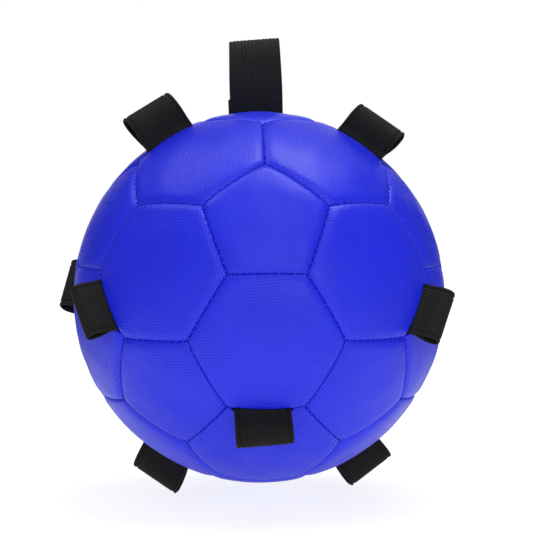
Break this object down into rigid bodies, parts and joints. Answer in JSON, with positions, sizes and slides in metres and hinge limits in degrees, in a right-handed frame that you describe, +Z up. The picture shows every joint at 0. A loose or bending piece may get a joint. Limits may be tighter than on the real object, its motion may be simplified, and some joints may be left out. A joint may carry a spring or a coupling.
{
  "type": "horse play ball",
  "caption": "Padded ball sewn from pentagon and hexagon panels over a bladder, with flexible webbing tabs in its seams to bite and a webbing loop to hang or carry it by.",
  "frame": {"origin": "inside the top of the carrying loop, where the rope, hook or hand that holds the ball bears", "axes": "+Z up out of the loop, -Y to the front pentagon and +X to the right of the front view"},
  "size_m": [0.2356, 0.2248, 0.2762],
  "materials": {
    "cover": "satin",
    "bladder": "matte",
    "valve": "satin",
    "tab_webbing": "matte",
    "handle_webbing": "matte"
  },
  "bodies": {
    "ball": {"pentagon_top": "cover", "pentagon_bottom": "cover", "pentagon_upper_1": "cover", "pentagon_upper_2": "cover", "pentagon_upper_3": "cover", "pentagon_upper_4": "cover", "pentagon_upper_5": "cover", "pentagon_lower_1": "cover", "pentagon_lower_2": "cover", "pentagon_lower_3": "cover", "pentagon_lower_4": "cover", "pentagon_lower_5": "cover", "hexagon_top_1": "cover", "hexagon_top_2": "cover", "hexagon_top_3": "cover", "hexagon_top_4": "cover", "hexagon_top_5": "cover", "hexagon_upper_1": "cover", "hexagon_upper_2": "cover", "hexagon_upper_3": "cover", "hexagon_upper_4": "cover", "hexagon_upper_5": "cover", "hexagon_lower_1": "cover", "hexagon_lower_2": "cover", "hexagon_lower_3": "cover", "hexagon_lower_4": "cover", "hexagon_lower_5": "cover", "hexagon_bottom_1": "cover", "hexagon_bottom_2": "cover", "hexagon_bottom_3": "cover", "hexagon_bottom_4": "cover", "hexagon_bottom_5": "cover", "bladder": "bladder", "valve_body": "valve", "valve_core": "valve"},
    "tab_upper_left": {"tab_upper_left": "tab_webbing"},
    "tab_upper_right": {"tab_upper_right": "tab_webbing"},
    "tab_left": {"tab_left": "tab_webbing"},
    "tab_right": {"tab_right": "tab_webbing"},
    "tab_front": {"tab_front": "tab_webbing"},
    "tab_rear_left": {"tab_rear_left": "tab_webbing"},
    "tab_rear_right": {"tab_rear_right": "tab_webbing"},
    "tab_lower_left": {"tab_lower_left": "tab_webbing"},
    "tab_lower_right": {"tab_lower_right": "tab_webbing"},
    "tab_rear_top": {"tab_rear_top": "tab_webbing"},
    "handle": {"handle": "handle_webbing"}
  },
  "joints": [
    {"name": "tab_upper_left_hinge", "type": "hinge", "parent": "ball", "child": "tab_upper_left", "pos_m": [-0.05359, -0.04896, -0.05803], "axis": [-0.8184, -0.2659, -0.5095], "range_deg": [-78, 42], "stiffness_Nm_per_rad": 0.01},
    {"name": "tab_upper_right_hinge", "type": "hinge", "parent": "ball", "child": "tab_upper_right", "pos_m": [0.05897, -0.05071, -0.06162], "axis": [-0.7875, 0.2559, 0.5606], "range_deg": [-88, 32], "stiffness_Nm_per_rad": 0.01},
    {"name": "tab_left_hinge", "type": "hinge", "parent": "ball", "child": "tab_left", "pos_m": [-0.08929, -0.09681, -0.15371], "axis": [0.3134, -0.4221, -0.8506], "range_deg": [-96, 24], "stiffness_Nm_per_rad": 0.01},
    {"name": "tab_right_hinge", "type": "hinge", "parent": "ball", "child": "tab_right", "pos_m": [0.08825, -0.09814, -0.15643], "axis": [0.3366, 0.4049, 0.8501], "range_deg": [-98, 22], "stiffness_Nm_per_rad": 0.01},
    {"name": "tab_front_hinge", "type": "hinge", "parent": "ball", "child": "tab_front", "pos_m": [-0.0012, -0.12562, -0.21134], "axis": [0.9999, -0.0092, -0.0057], "range_deg": [-88, 32], "stiffness_Nm_per_rad": 0.01},
    {"name": "tab_rear_left_hinge", "type": "hinge", "parent": "ball", "child": "tab_rear_left", "pos_m": [-0.08932, 0.03367, -0.15277], "axis": [0.3127, 0.4227, 0.8506], "range_deg": [-77, 43], "stiffness_Nm_per_rad": 0.01},
    {"name": "tab_rear_right_hinge", "type": "hinge", "parent": "ball", "child": "tab_rear_right", "pos_m": [0.08948, 0.03346, -0.1532], "axis": [0.309, -0.4253, -0.8507], "range_deg": [-70, 50], "stiffness_Nm_per_rad": 0.01},
    {"name": "tab_lower_left_hinge", "type": "hinge", "parent": "ball", "child": "tab_lower_left", "pos_m": [-0.05465, -0.01379, -0.2477], "axis": [0.8126, -0.264, -0.5196], "range_deg": [-76, 44], "stiffness_Nm_per_rad": 0.01},
    {"name": "tab_lower_right_hinge", "type": "hinge", "parent": "ball", "child": "tab_lower_right", "pos_m": [0.05778, -0.01277, -0.24561], "axis": [0.7947, 0.2582, 0.5494], "range_deg": [-64, 56], "stiffness_Nm_per_rad": 0.01},
    {"name": "tab_rear_top_hinge", "type": "hinge", "parent": "ball", "child": "tab_rear_top", "pos_m": [0, 0.06253, -0.09506], "axis": [-1, 0, 0], "range_deg": [-84, 36], "stiffness_Nm_per_rad": 0.01},
    {"name": "handle_hinge", "type": "hinge", "parent": "ball", "child": "handle", "pos_m": [0, 0, -0.0465], "axis": [-1, 0, 0], "range_deg": [-44, 76], "stiffness_Nm_per_rad": 0.03}
  ]
}
